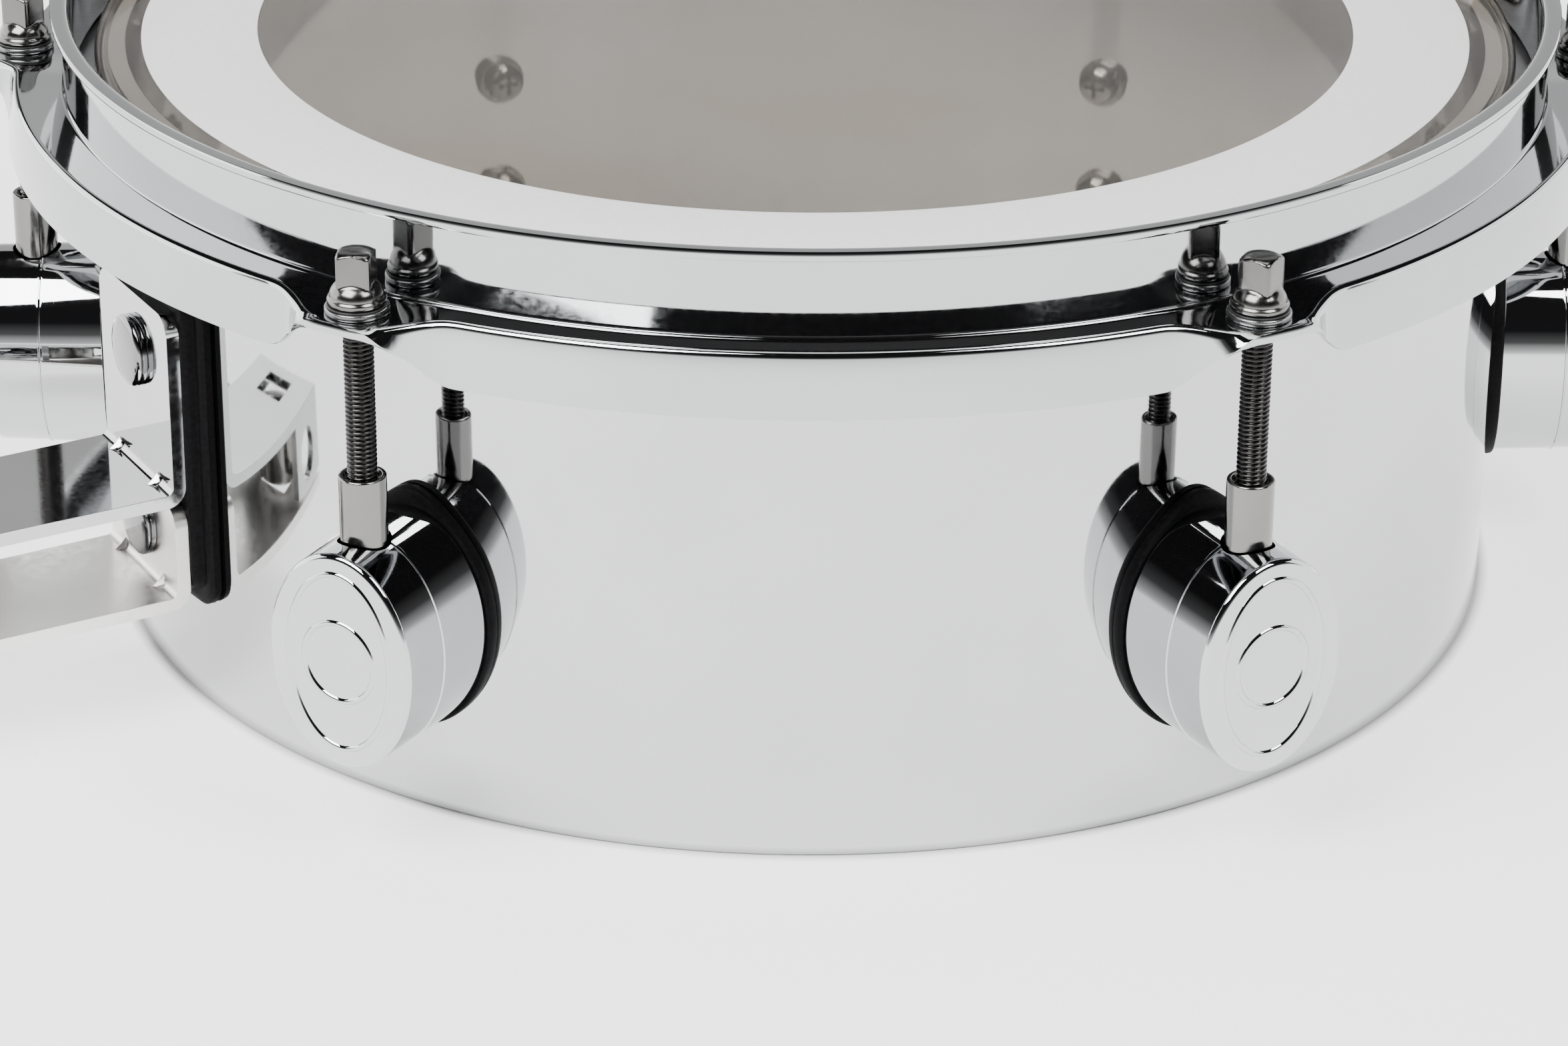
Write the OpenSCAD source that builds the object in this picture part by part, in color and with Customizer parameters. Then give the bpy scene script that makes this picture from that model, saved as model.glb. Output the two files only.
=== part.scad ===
// Single-headed metal shell drum, ten inches across and four deep, with a rod clamp bracket.
// The shell stands on its bare lower rim at z = 0, its axis is Z, and the front is -Y.

/* [Shell] */
// Outer radius of the shell
shell_r = 127; // [125:0.5:129]
// Height of the shell from its lower rim to its bearing edge
shell_h = 101.6; // [100:0.2:103]
// Wall thickness of the shell
shell_t = 1.5; // [1.2:0.1:2]

/* [Hoop and head] */
// Height of the top of the hoop
hoop_top = 110; // [108:0.5:112]
// Inner radius of the hoop's upright wall
hoop_in = 131.7; // [131:0.1:132.5]
// Thickness of the hoop's sheet
hoop_t = 1.6; // [1.4:0.1:1.8]
// Height of the flat shelf that the tension rods press on
shelf_z = 94.8; // [94.4:0.1:95.4]
// Outer radius of the hoop's hanging skirt
skirt_r = 143.4; // [143:0.1:144]
// Height of the lower edge of the skirt
skirt_z = 85.3; // [84:0.1:87]
// Inner radius of the white ring on the head
ring_in = 98.7; // [95:0.1:102]
// Outer radius of the white ring on the head
ring_out = 119.3; // [117:0.1:121]

/* [Lugs] */
// Number of lugs and tension rods round the shell
lug_count = 6; // [6]
// Height of the middle of a lug
lug_z = 36.6; // [35:0.1:38]
// Half the width of a lug
lug_half_w = 13.7; // [13:0.1:14.5]
// Half the height of a lug
lug_half_h = 18.9; // [18:0.1:19.5]
// Distance of a lug's face from the drum's axis
lug_face = 150.3; // [149:0.1:152]
// Distance of the tension rods from the drum's axis
rod_r = 141.7; // [141.2:0.1:142.2]

/* [Rods and nuts] */
// Diameter of a tension rod's thread
rod_d = 5; // [5]
// Width across the flats of a rod's square key head
key_w = 6.35; // [6.35]
// Outer diameter of a swivel tube nut
tube_d = 7.8; // [7.4:0.1:8]
// Height of the top of a tube nut
tube_top = 66.7; // [64:0.1:68]

/* [Bracket] */
// Angle of the bracket round the shell, from the front towards the left
bracket_turn = 60; // [60]
// Distance from the drum's axis to the outer face of the bracket's legs
leg_face = 132.5; // [132:0.1:133.5]
// Thickness of the bracket's sheet
sheet_t = 2.4; // [2:0.1:2.6]
// Half the width of the bracket's legs and plates
plate_half_w = 14.7; // [14:0.1:15.5]
// Height of the top face of the upper plate
upper_z = 42.1; // [41.8:0.1:42.6]
// Height of the top face of the lower plate
lower_z = 22.7; // [22.4:0.1:23]
// Length of the plates beyond the legs
plate_l = 53; // [50:0.5:56]
// Distance of the mounting rod's axis beyond the legs
clamp_l = 42; // [41:0.5:43]
// Diameter of the bore that holds the mounting rod
clamp_d = 11; // [10.6:0.1:11.2]

/* [Hidden] */
$fn = 96;
eps = 0.01;
far = 400;

chrome = [0.80, 0.81, 0.82];
nickel = [0.62, 0.61, 0.59];
rubber = [0.06, 0.06, 0.065];
alloy = [0.68, 0.69, 0.70];
film = [0.80, 0.79, 0.77, 0.5];
white = [0.93, 0.93, 0.92];
nylon = [0.08, 0.08, 0.08];

running_gap = 0.05;
body_gap = 0.35;
edge_lip = 2.5;

rod_end_z = 43;
rod_well = [rod_d / 2 + 0.5, 10];
well_drop = 3;
steel_washer = [5.9, 1.2];
nylon_washer = [5.2, 0.4];
collar = [5.35, 2.0];
key_h = 6.8;
ear_r = 7.2;
ear_hole_r = 3.2;
ear_gap = [22, 4];
hoop_lip = 3.4;

film_t = 0.3;
film_z = shell_h + 0.3;
film_in = shell_r + body_gap;
film_low = 88;
flesh_w = 8;
flesh_low = 86.6;
printed_t = 0.15;

gasket_t = 2.2;
gasket_rim = 1.0;
gasket_peak_r = 5;
tube_hole_r = tube_d / 2 + 0.45;
tube_foot = [5.4, 4];
tube_foot_z = 40;
foot_gap = 0.4;
screw_spread = 25;
screw_r = 2;
screw_tip = 134;
drill_r = shell_r - 8;
drill_l = 16;
screw_washer = [5.5, 1.0];
screw_head = [4.2, 2.6];
inner_flat = 125.3;

bend_r = 3.6;
bolt_r = 2.95;
bolt_head = [6.3, 2.3];
bolt_heights = [31.8, 63.7];
bolt_nut = [5.6, 4.6];
bolt_washer = [6.8, 1.2];
leg_tops = [39.0, 74.5];
pad_low = 20.4;
pad_high = 81;
pad_half_w = 15.8;
pad_corner = 3;
base_half_w = 18.5;
base_t = 2;
core_r = 118;
flange_l = 20;
flange_low = 24.2;
eye = [9.4, 13.4];
eye_z = 31.2;
shank_r = 3;
shank_l = 34;
wing_hub = [6, 8];
wing_washer = [6.6, 1.2];
wing = [5.5, 2.6];
wing_place = [9.5, 6.5];
hole_gap = 0.3;
nut_gap = 0.2;
square_gap = 0.4;

rod_z = shelf_z + steel_washer[1] + nylon_washer[1];
rod_x = leg_face + clamp_l;

// Azimuth of a lug counted from the front towards the right, in degrees.
function lug_turn(i) = -30 + 60 * (i - 1);

// Outline of an oval with the half width a and the half height b.
function oval(a, b, n = 60) = [for (k = [0:n - 1]) [a * cos(360 * k / n), b * sin(360 * k / n)]];

// Stands children at a turn round the drum: +Y of the child points away from the axis.
module around(turn) { rotate([0, 0, turn + 180]) children(); }

// Lays a child's +Z outwards along the radius and its +Y upwards.
module outward(turn, distance, height) {
    around(turn) translate([0, distance, height]) rotate([-90, 0, 0]) rotate([0, 0, 180]) children();
}

module ring(r_out, r_in, h) {
    difference() {
        cylinder(r = r_out, h = h);
        translate([0, 0, -eps]) cylinder(r = r_in, h = h + 2 * eps);
    }
}

// Rounded rectangle from its half width and its two heights.
module rounded_panel(half_w, low, high, r) {
    for (x = [-half_w + r, half_w - r], y = [low + r, high - r]) translate([x, y]) circle(r);
    translate([-half_w + r, low]) square([2 * (half_w - r), high - low]);
    translate([-half_w, low + r]) square([2 * half_w, high - low - 2 * r]);
}

// Wall with a rolled bearing edge at the top, drilled for the lugs and the bracket.
module shell() {
    color(chrome) difference() {
        rotate_extrude($fn = 180) {
            translate([shell_r - shell_t, 0]) square([shell_t, shell_h - edge_lip]);
            intersection() {
                translate([shell_r - edge_lip, shell_h - edge_lip]) difference() {
                    circle(edge_lip, $fn = 48);
                    circle(edge_lip - shell_t, $fn = 48);
                }
                translate([shell_r - edge_lip, shell_h - edge_lip]) square(edge_lip);
            }
            translate([shell_r - 2 * edge_lip, shell_h - shell_t]) square([edge_lip, shell_t]);
        }
        for (i = [1:lug_count], dz = [-screw_spread / 2, screw_spread / 2])
            outward(lug_turn(i), drill_r, lug_z + dz) cylinder(r = screw_r + hole_gap, h = drill_l);
        for (z = bolt_heights)
            outward(-bracket_turn, drill_r, z) cylinder(r = bolt_r + hole_gap, h = drill_l);
    }
}

module hoop_section() {
    translate([hoop_in, shelf_z - hoop_t]) square([hoop_t, hoop_top - shelf_z + hoop_t]);
    translate([hoop_in, hoop_top - hoop_t]) square([hoop_lip, hoop_t]);
    translate([hoop_in, shelf_z - hoop_t]) square([skirt_r - hoop_in, hoop_t]);
    translate([skirt_r - hoop_t, skirt_z]) square([hoop_t, shelf_z - skirt_z]);
}

// Triple-flanged hoop: the skirt is open at each ear, and a rod passes through every ear.
module hoop() {
    color(chrome) difference() {
        union() {
            rotate_extrude($fn = 180) hoop_section();
            for (i = [1:lug_count]) around(lug_turn(i)) translate([0, 0, shelf_z - hoop_t]) {
                translate([0, rod_r, 0]) cylinder(r = ear_r, h = hoop_t);
                translate([-ear_r, hoop_in + 1, 0]) cube([2 * ear_r, rod_r - hoop_in - 1, hoop_t]);
            }
        }
        for (i = [1:lug_count]) around(lug_turn(i)) {
            translate([0, rod_r, shelf_z - 2 * hoop_t]) cylinder(r = ear_hole_r, h = 3 * hoop_t);
            translate([-ear_gap[0] / 2, hoop_in + hoop_t + ear_gap[1], skirt_z - 1])
                cube([ear_gap[0], ear_gap[0], shelf_z - hoop_t - skirt_z + 1]);
        }
    }
}

// Film with its collar, which hangs just clear of the shell down into the flesh hoop.
module head_film() {
    color(film) rotate_extrude($fn = 180) {
        translate([0, film_z]) square([film_in + film_t, film_t]);
        translate([film_in, film_low]) square([film_t, film_z - film_low + eps]);
    }
}

module head_ring() {
    color(white) translate([0, 0, film_z + film_t]) ring(ring_out, ring_in, printed_t, $fn = 180);
}

module flesh_hoop() {
    color(alloy) rotate_extrude($fn = 180)
        translate([film_in + film_t, flesh_low]) square([flesh_w, shelf_z - hoop_t - flesh_low]);
}

module lug(i) {
    color(chrome) difference() {
        outward(lug_turn(i), drill_r, lug_z)
            linear_extrude(lug_face - drill_r) polygon(oval(lug_half_w, lug_half_h));
        cylinder(r = shell_r + gasket_t, h = far, center = true, $fn = 180);
        around(lug_turn(i)) translate([0, rod_r, 0]) {
            translate([0, 0, tube_foot_z]) cylinder(r = tube_hole_r, h = far);
            translate([0, 0, tube_foot_z - well_drop]) cylinder(r = rod_well[0], h = rod_well[1]);
            translate([0, 0, tube_foot_z]) cylinder(r = tube_foot[0] + foot_gap, h = tube_foot[1] + foot_gap);
        }
        for (dz = [-screw_spread / 2, screw_spread / 2])
            outward(lug_turn(i), drill_r, lug_z + dz)
                cylinder(r = screw_r + running_gap, h = screw_tip - drill_r + 1);
    }
}

module lug_gasket(i) {
    color(rubber) difference() {
        intersection() {
            outward(lug_turn(i), drill_r, lug_z) linear_extrude(drill_l) {
                polygon(oval(lug_half_w + gasket_rim, lug_half_h + gasket_rim));
                translate([0, lug_half_h - 2]) circle(r = gasket_peak_r, $fn = 32);
            }
            cylinder(r = shell_r + gasket_t, h = far, center = true, $fn = 180);
        }
        cylinder(r = shell_r, h = far, center = true, $fn = 180);
        for (dz = [-screw_spread / 2, screw_spread / 2])
            outward(lug_turn(i), drill_r, lug_z + dz) cylinder(r = screw_r + nut_gap, h = drill_l);
    }
}

// Swivel nut: a bored tube whose foot sits in a pocket inside the lug.
module tube_nut(i) {
    color(nickel) around(lug_turn(i)) translate([0, rod_r, tube_foot_z]) difference() {
        union() {
            cylinder(r = tube_d / 2, h = tube_top - tube_foot_z);
            cylinder(r = tube_foot[0], h = tube_foot[1]);
        }
        translate([0, 0, -1]) cylinder(r = rod_d / 2 + running_gap, h = far);
    }
}

module tension_rod(i) {
    color(nickel) around(lug_turn(i)) translate([0, rod_r, 0]) {
        translate([0, 0, rod_end_z]) cylinder(d = rod_d, h = rod_z - rod_end_z + eps);
        translate([0, 0, rod_z]) cylinder(r = collar[0], h = collar[1]);
        translate([-key_w / 2, -key_w / 2, rod_z + collar[1] - eps]) cube([key_w, key_w, key_h]);
    }
}

module rod_steel_washers() {
    color(alloy) for (i = [1:lug_count]) around(lug_turn(i)) translate([0, rod_r, shelf_z])
        ring(steel_washer[0], rod_d / 2 + body_gap, steel_washer[1]);
}

module rod_nylon_washers() {
    color(nylon) for (i = [1:lug_count]) around(lug_turn(i))
        translate([0, rod_r, shelf_z + steel_washer[1]])
            ring(nylon_washer[0], rod_d / 2 + body_gap, nylon_washer[1] - eps);
}

// Pan-head screws that hold each lug from inside the shell, two to a lug.
module lug_screws() {
    seat = inner_flat - screw_washer[1];
    color(nickel) for (i = [1:lug_count], dz = [-screw_spread / 2, screw_spread / 2])
        outward(lug_turn(i), seat - screw_head[1], lug_z + dz) {
            cylinder(r = screw_head[0], h = screw_head[1]);
            cylinder(r = screw_r, h = screw_tip - seat + screw_head[1]);
        }
}

module lug_screw_washers() {
    color(alloy) for (i = [1:lug_count], dz = [-screw_spread / 2, screw_spread / 2])
        outward(lug_turn(i), inner_flat - screw_washer[1], lug_z + dz)
            ring(screw_washer[0], screw_r + nut_gap, screw_washer[1]);
}

// Rubber pad under the bracket: a wide base that follows the shell, and a flat block on it.
module bracket_gasket() {
    color(rubber) difference() {
        union() {
            intersection() {
                outward(-bracket_turn, core_r, 0) linear_extrude(leg_face - core_r)
                    rounded_panel(base_half_w, pad_low, pad_high, pad_corner);
                cylinder(r = shell_r + base_t, h = far, center = true, $fn = 180);
            }
            outward(-bracket_turn, core_r, 0) linear_extrude(leg_face - sheet_t - core_r)
                rounded_panel(pad_half_w, pad_low, pad_high, pad_corner);
        }
        cylinder(r = shell_r, h = far, center = true, $fn = 180);
        for (z = bolt_heights)
            outward(-bracket_turn, core_r - 1, z) cylinder(r = bolt_r + nut_gap, h = drill_l);
    }
}

// Side view of a leg and its plate: x runs outwards and y upwards.
module angle_section(plate_z, leg_top) {
    inner = leg_face - sheet_t;
    low = plate_z - sheet_t;
    translate([inner, low + bend_r]) square([sheet_t, leg_top - low - bend_r]);
    translate([inner + bend_r, low]) square([leg_face + plate_l - inner - bend_r, sheet_t]);
    intersection() {
        translate([inner + bend_r, low + bend_r]) difference() {
            circle(bend_r, $fn = 48);
            circle(bend_r - sheet_t, $fn = 48);
        }
        translate([inner, low]) square(bend_r + eps);
    }
}

// Bent angle with a bolt hole in its leg and a square hole for the mounting rod.
module angle_plate(plate_z, leg_top, bolt_z) {
    hole = clamp_d + square_gap;
    around(-bracket_turn) difference() {
        rotate([90, 0, 90]) translate([0, 0, -plate_half_w]) linear_extrude(2 * plate_half_w)
            angle_section(plate_z, leg_top);
        translate([-hole / 2, rod_x - hole / 2, plate_z - sheet_t - 1]) cube([hole, hole, sheet_t + 2]);
        translate([0, leg_face - sheet_t - 1, bolt_z]) rotate([-90, 0, 0])
            cylinder(r = bolt_r + nut_gap, h = sheet_t + 2);
    }
}

// Turned-down cheek at the outer end of the upper plate, with a hole for the clamp.
module cheek(side, hole_r) {
    near = side > 0 ? plate_half_w - sheet_t : -plate_half_w;
    around(-bracket_turn) difference() {
        translate([near, leg_face + plate_l - flange_l, flange_low])
            cube([sheet_t, flange_l, upper_z - sheet_t - flange_low + eps]);
        translate([side * (plate_half_w + 1), rod_x, eye_z]) rotate([0, -side * 90, 0])
            cylinder(r = hole_r, h = sheet_t + 2);
    }
}

module bracket_upper() {
    color(chrome) {
        angle_plate(upper_z, leg_tops[1], bolt_heights[1]);
        cheek(1, shank_r + hole_gap);
        cheek(-1, clamp_d / 2);
    }
}

module bracket_lower() {
    color(chrome) angle_plate(lower_z, leg_tops[0], bolt_heights[0]);
}

module bracket_bolts() {
    color(chrome) for (z = bolt_heights) outward(-bracket_turn, 0, z) {
        translate([0, 0, leg_face]) cylinder(r = bolt_head[0], h = bolt_head[1]);
        translate([0, 0, core_r]) cylinder(r = bolt_r, h = leg_face - core_r + eps);
    }
}

module bracket_bolt_nuts() {
    seat = inner_flat - bolt_washer[1];
    color(nickel) for (z = bolt_heights) outward(-bracket_turn, seat - bolt_nut[1], z) difference() {
        cylinder(r = bolt_nut[0], h = bolt_nut[1], $fn = 6);
        translate([0, 0, -1]) cylinder(r = bolt_r + running_gap, h = bolt_nut[1] + 2);
    }
}

module bracket_bolt_washers() {
    color(alloy) for (z = bolt_heights) outward(-bracket_turn, inner_flat - bolt_washer[1], z)
        ring(bolt_washer[0], bolt_r + nut_gap, bolt_washer[1]);
}

// Stands children on the clamp's axis: the child's +Z runs out through the drilled cheek.
module clamp_axis() {
    around(-bracket_turn) translate([0, rod_x, eye_z]) rotate([0, 90, 0]) children();
}

module eye_bolt() {
    color(nickel) difference() {
        union() {
            around(-bracket_turn) translate([0, rod_x, eye_z - eye[1] / 2]) cylinder(r = eye[0], h = eye[1]);
            clamp_axis() cylinder(r = shank_r, h = shank_l);
        }
        around(-bracket_turn) translate([0, rod_x, 0]) cylinder(d = clamp_d, h = far);
    }
}

module wing_nut_washer() {
    color(alloy) clamp_axis() translate([0, 0, plate_half_w])
        ring(wing_washer[0], shank_r + hole_gap, wing_washer[1]);
}

module wing_nut() {
    seat = plate_half_w + wing_washer[1] + body_gap;
    color(chrome) clamp_axis() translate([0, 0, seat]) difference() {
        union() {
            cylinder(r = wing_hub[0], h = wing_hub[1]);
            for (s = [-1, 1]) translate([0, s * wing_place[0], wing_place[1]]) rotate([0, 90, 0])
                cylinder(r = wing[0], h = wing[1], center = true);
        }
        translate([0, 0, -1]) cylinder(r = shank_r + running_gap, h = far);
    }
}

shell();
hoop();
head_film();
head_ring();
flesh_hoop();
for (i = [1:lug_count]) {
    lug(i);
    lug_gasket(i);
    tube_nut(i);
    tension_rod(i);
}
rod_steel_washers();
rod_nylon_washers();
lug_screws();
lug_screw_washers();
bracket_gasket();
bracket_upper();
bracket_lower();
bracket_bolts();
bracket_bolt_nuts();
bracket_bolt_washers();
eye_bolt();
wing_nut();
wing_nut_washer();
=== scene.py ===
"""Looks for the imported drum: chrome shell, pressed hoop, lugs, rods, bracket, translucent head and studio."""
import math

import bmesh
import bpy
from mathutils import Matrix, Vector


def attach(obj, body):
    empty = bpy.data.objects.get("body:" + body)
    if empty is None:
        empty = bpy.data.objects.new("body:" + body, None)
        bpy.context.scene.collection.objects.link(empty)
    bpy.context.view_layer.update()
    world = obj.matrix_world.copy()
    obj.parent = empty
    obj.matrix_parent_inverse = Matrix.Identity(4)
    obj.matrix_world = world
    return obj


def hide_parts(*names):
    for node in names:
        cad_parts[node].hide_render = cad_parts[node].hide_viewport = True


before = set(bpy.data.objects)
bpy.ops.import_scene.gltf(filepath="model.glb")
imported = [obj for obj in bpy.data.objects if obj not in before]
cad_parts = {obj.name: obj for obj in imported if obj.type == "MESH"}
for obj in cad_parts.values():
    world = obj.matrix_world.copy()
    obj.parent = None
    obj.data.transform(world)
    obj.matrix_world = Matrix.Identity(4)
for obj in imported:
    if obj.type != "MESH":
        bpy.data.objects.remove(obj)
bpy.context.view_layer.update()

MM = 0.001
SHELL_BODY = "shell_body"
HOOP_BODY = "hoop_body"
LUG_TURNS = [-30 + 60 * k for k in range(6)]
BRACKET_TURN = -60

# Sizes in millimetres, as in the CAD model.
SHELL_R = 127.0
SHELL_H = 101.6
SHELL_T = 1.5
EDGE_R = 122.0
HOOP_IN = 131.7
HOOP_T = 1.6
HOOP_TOP = 110.0
SHELF_Z = 94.8
SKIRT_R = 143.4
SKIRT_Z = 85.3
RING_IN = 98.7
RING_OUT = 119.3
FILM_Z = 101.9
FILM_T = 0.3
FILM_IN = 127.35
FLESH_OUT = 135.65
LUG_Z = 36.6
LUG_W = 13.7
LUG_H = 18.9
LUG_FACE = 150.3
ROD_R = 141.7
TUBE_R = 3.9
TUBE_TOP = 66.7
GASKET_T = 2.2
LEG_FACE = 132.5
SHEET_T = 2.4
PLATE_W = 14.7
UPPER_Z = 42.1
LOWER_Z = 22.7
PLATE_END = LEG_FACE + 53
CLAMP_R = LEG_FACE + 42
CLAMP_Z = 31.2
BOLT_Z = (31.8, 63.7)
BOLT_HOLE_R = 3.2
SCREW_REACH = 12.5
SCREW_SEAT_R = 124.3
SCREW_HOLE_R = 2.3
NUT_SEAT_R = 124.1
ROD_HOLE_R = 3.2
ROD_LOW = 43.05
THREAD_TOP = 91.7
THREAD_PITCH = 0.8
KEY_HALF = 2.8
COLLAR_Z = 96.4
KEY_TOP = 105.2
PAD_HALF_W = 18.5
PAD_Z = (20.4, 81.0)


# ---------------------------------------------------------------- placing

def upright(turn, distance=0.0, height=0.0):
    """Frame at a turn round the drum: local X runs along the rim, Y outwards and Z up."""
    a = math.radians(turn)
    out = Vector((math.sin(a), -math.cos(a), 0))
    side = Vector((math.cos(a), math.sin(a), 0))
    m = Matrix((side, out, Vector((0, 0, 1)))).transposed().to_4x4()
    m.translation = (out * distance + Vector((0, 0, height))) * MM
    if m.determinant() < 0:
        m = m @ Matrix.Scale(-1, 4, Vector((1, 0, 0)))
    return m


def outward(turn, distance=0.0, height=0.0):
    """Frame at a turn round the drum: local Z runs outwards and local Y up."""
    a = math.radians(turn)
    out = Vector((math.sin(a), -math.cos(a), 0))
    side = Vector((math.cos(a), math.sin(a), 0))
    m = Matrix((side, Vector((0, 0, 1)), out)).transposed().to_4x4()
    m.translation = (out * distance + Vector((0, 0, height))) * MM
    return m


# ---------------------------------------------------------------- mesh helpers

def new_object(name, verts, faces, material, place=None, crease=32):
    """A closed mesh object from points in millimetres, shaded smooth up to the crease angle."""
    mesh = bpy.data.meshes.new(name)
    mesh.from_pydata([(x * MM, y * MM, z * MM) for x, y, z in verts], [], faces)
    bm = bmesh.new()
    bm.from_mesh(mesh)
    bmesh.ops.remove_doubles(bm, verts=bm.verts, dist=1e-7)
    bmesh.ops.recalc_face_normals(bm, faces=bm.faces)
    bm.to_mesh(mesh)
    bm.free()
    return placed(name, mesh, material, place, crease)


def shade(mesh, crease):
    """Shades a mesh smooth, with sharp edges above the crease angle."""
    mesh.polygons.foreach_set("use_smooth", [True] * len(mesh.polygons))
    mesh.set_sharp_from_angle(angle=math.radians(crease))


def placed(name, mesh, material, place=None, crease=32):
    """A mesh as an object in the scene, at its place."""
    shade(mesh, crease)
    if material and not mesh.materials:
        mesh.materials.append(material)
    obj = bpy.data.objects.new(name, mesh)
    bpy.context.scene.collection.objects.link(obj)
    if place is not None:
        obj.matrix_world = place
    return obj


def loft(loops, cap_start=True, cap_end=True, closed=False):
    """Points and faces of a skin over loops with the same number of points each."""
    n = len(loops[0])
    verts = [p for loop in loops for p in loop]
    faces = []
    rows = len(loops)
    for r in range(rows if closed else rows - 1):
        a, b = r * n, ((r + 1) % rows) * n
        faces += [(a + i, a + (i + 1) % n, b + (i + 1) % n, b + i) for i in range(n)]
    for wanted, base in ((cap_start, 0), (cap_end, (rows - 1) * n)):
        if wanted and not closed:
            centre = [sum(verts[base + i][k] for i in range(n)) / n for k in range(3)]
            verts.append(tuple(centre))
            faces += [(base + i, base + (i + 1) % n, len(verts) - 1) for i in range(n)]
    return verts, faces


def fillet(points, radii, steps=5):
    """A closed 2D outline with each corner rounded by its own radius."""
    out = []
    n = len(points)
    for i, (p, r) in enumerate(zip(points, radii)):
        if r <= 0:
            out.append(p)
            continue
        p = Vector(p)
        a = (Vector(points[i - 1]) - p).normalized()
        b = (Vector(points[(i + 1) % n]) - p).normalized()
        half = a.angle(b) / 2
        reach = r / math.tan(half)
        start, end = p + a * reach, p + b * reach
        centre = p + (a + b).normalized() * (r / math.sin(half))
        for k in range(steps + 1):
            v = (start - centre).lerp(end - centre, k / steps)
            out.append(tuple(centre + v.normalized() * r))
    return out


def lathe(name, outline, material, place=None, segments=128, crease=32):
    """A ring turned from a closed outline of (radius, height)."""
    loops = []
    for k in range(segments):
        a = 2 * math.pi * k / segments
        loops.append([(r * math.cos(a), r * math.sin(a), z) for r, z in outline])
    return new_object(name, *loft(loops, closed=True), material, place, crease)


def turned(name, profile, material, place=None, segments=64, crease=32):
    """A solid turned from an open profile of (radius, height) that starts and ends near the axis."""
    loops = [[(r * math.cos(2 * math.pi * k / segments), r * math.sin(2 * math.pi * k / segments), z)
              for k in range(segments)] for r, z in profile]
    return new_object(name, *loft(loops), material, place, crease)


def apply_modifiers(obj, crease=32):
    """Bakes an object's modifiers into its mesh."""
    graph = bpy.context.evaluated_depsgraph_get()
    mesh = bpy.data.meshes.new_from_object(obj.evaluated_get(graph))
    obj.modifiers.clear()
    obj.data = mesh
    shade(mesh, crease)


def settle_normals(obj, weight=60):
    """Lets the large faces lead the shading round cut and bevelled edges."""
    modifier = obj.modifiers.new("normals", "WEIGHTED_NORMAL")
    modifier.mode = "FACE_AREA_WITH_ANGLE"
    modifier.weight = weight
    modifier.keep_sharp = True
    graph = bpy.context.evaluated_depsgraph_get()
    mesh = bpy.data.meshes.new_from_object(obj.evaluated_get(graph))
    obj.modifiers.clear()
    obj.data = mesh


def cut(obj, cutters, operation="DIFFERENCE"):
    """Cuts the cutters out of obj, or joins them to it, and removes them."""
    for cutter in cutters:
        modifier = obj.modifiers.new("cut", "BOOLEAN")
        modifier.object = cutter
        modifier.operation = operation
        modifier.solver = "EXACT"
    apply_modifiers(obj)
    for cutter in cutters:
        bpy.data.objects.remove(cutter)


def bevel(obj, width, segments=3, angle=40):
    """Rounds the edges that are sharper than the angle."""
    modifier = obj.modifiers.new("bevel", "BEVEL")
    modifier.width = width * MM
    modifier.segments = segments
    modifier.limit_method = "ANGLE"
    modifier.angle_limit = math.radians(angle)
    modifier.harden_normals = False
    apply_modifiers(obj)


def cylinder(name, radius, low, high, place, segments=64):
    """A plain cylinder to cut holes with."""
    return turned(name, [(radius, low), (radius, high)], None, place, segments)


def prism(name, outline, low, high, material, place=None):
    """A straight prism on a 2D outline, from one height to another."""
    n = len(outline)
    verts = [(x, y, low) for x, y in outline] + [(x, y, high) for x, y in outline]
    faces = [tuple(range(n)), tuple(range(n, 2 * n))]
    faces += [(i, (i + 1) % n, n + (i + 1) % n, n + i) for i in range(n)]
    return new_object(name, verts, faces, material, place)


def box_cutter(x0, x1, y0, y1, z0, z1, place):
    """A plain box to cut with or to join on."""
    return prism("box", [(x0, y0), (x1, y0), (x1, y1), (x0, y1)], z0, z1, None, place)


def finish_piece(obj, body, slot, *nodes):
    """Says which body a piece rides on and which CAD nodes it stands for; the material slot is not used."""
    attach(obj, body)
    if nodes:
        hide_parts(*nodes)
    return obj


# ---------------------------------------------------------------- materials

def principled(name):
    """A new material, with its node tree and its shader."""
    material = bpy.data.materials.new(name)
    material.use_nodes = True
    return material, material.node_tree, material.node_tree.nodes["Principled BSDF"]


def noise(tree, scale, detail=3.0):
    """Noise in the object's own space."""
    coords = tree.nodes.new("ShaderNodeTexCoord")
    texture = tree.nodes.new("ShaderNodeTexNoise")
    texture.inputs["Scale"].default_value = scale
    texture.inputs["Detail"].default_value = detail
    tree.links.new(coords.outputs["Object"], texture.inputs["Vector"])
    return texture.outputs["Fac"]


def ramp(tree, source, stops):
    """Colours over a value, as stops of (position, colour)."""
    node = tree.nodes.new("ShaderNodeValToRGB")
    elements = node.color_ramp.elements
    elements[0].position, elements[0].color = stops[0][0], (*stops[0][1], 1)
    elements[1].position, elements[1].color = stops[-1][0], (*stops[-1][1], 1)
    for position, colour in stops[1:-1]:
        elements.new(position).color = (*colour, 1)
    tree.links.new(source, node.inputs["Fac"])
    return node.outputs["Color"]


def rough_range(tree, source, low, high):
    """Spreads the middle of a noise over a range of roughness."""
    node = tree.nodes.new("ShaderNodeMapRange")
    node.inputs["From Min"].default_value = 0.3
    node.inputs["From Max"].default_value = 0.7
    node.inputs["To Min"].default_value = low
    node.inputs["To Max"].default_value = high
    tree.links.new(source, node.inputs["Value"])
    return node.outputs["Result"]


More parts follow.
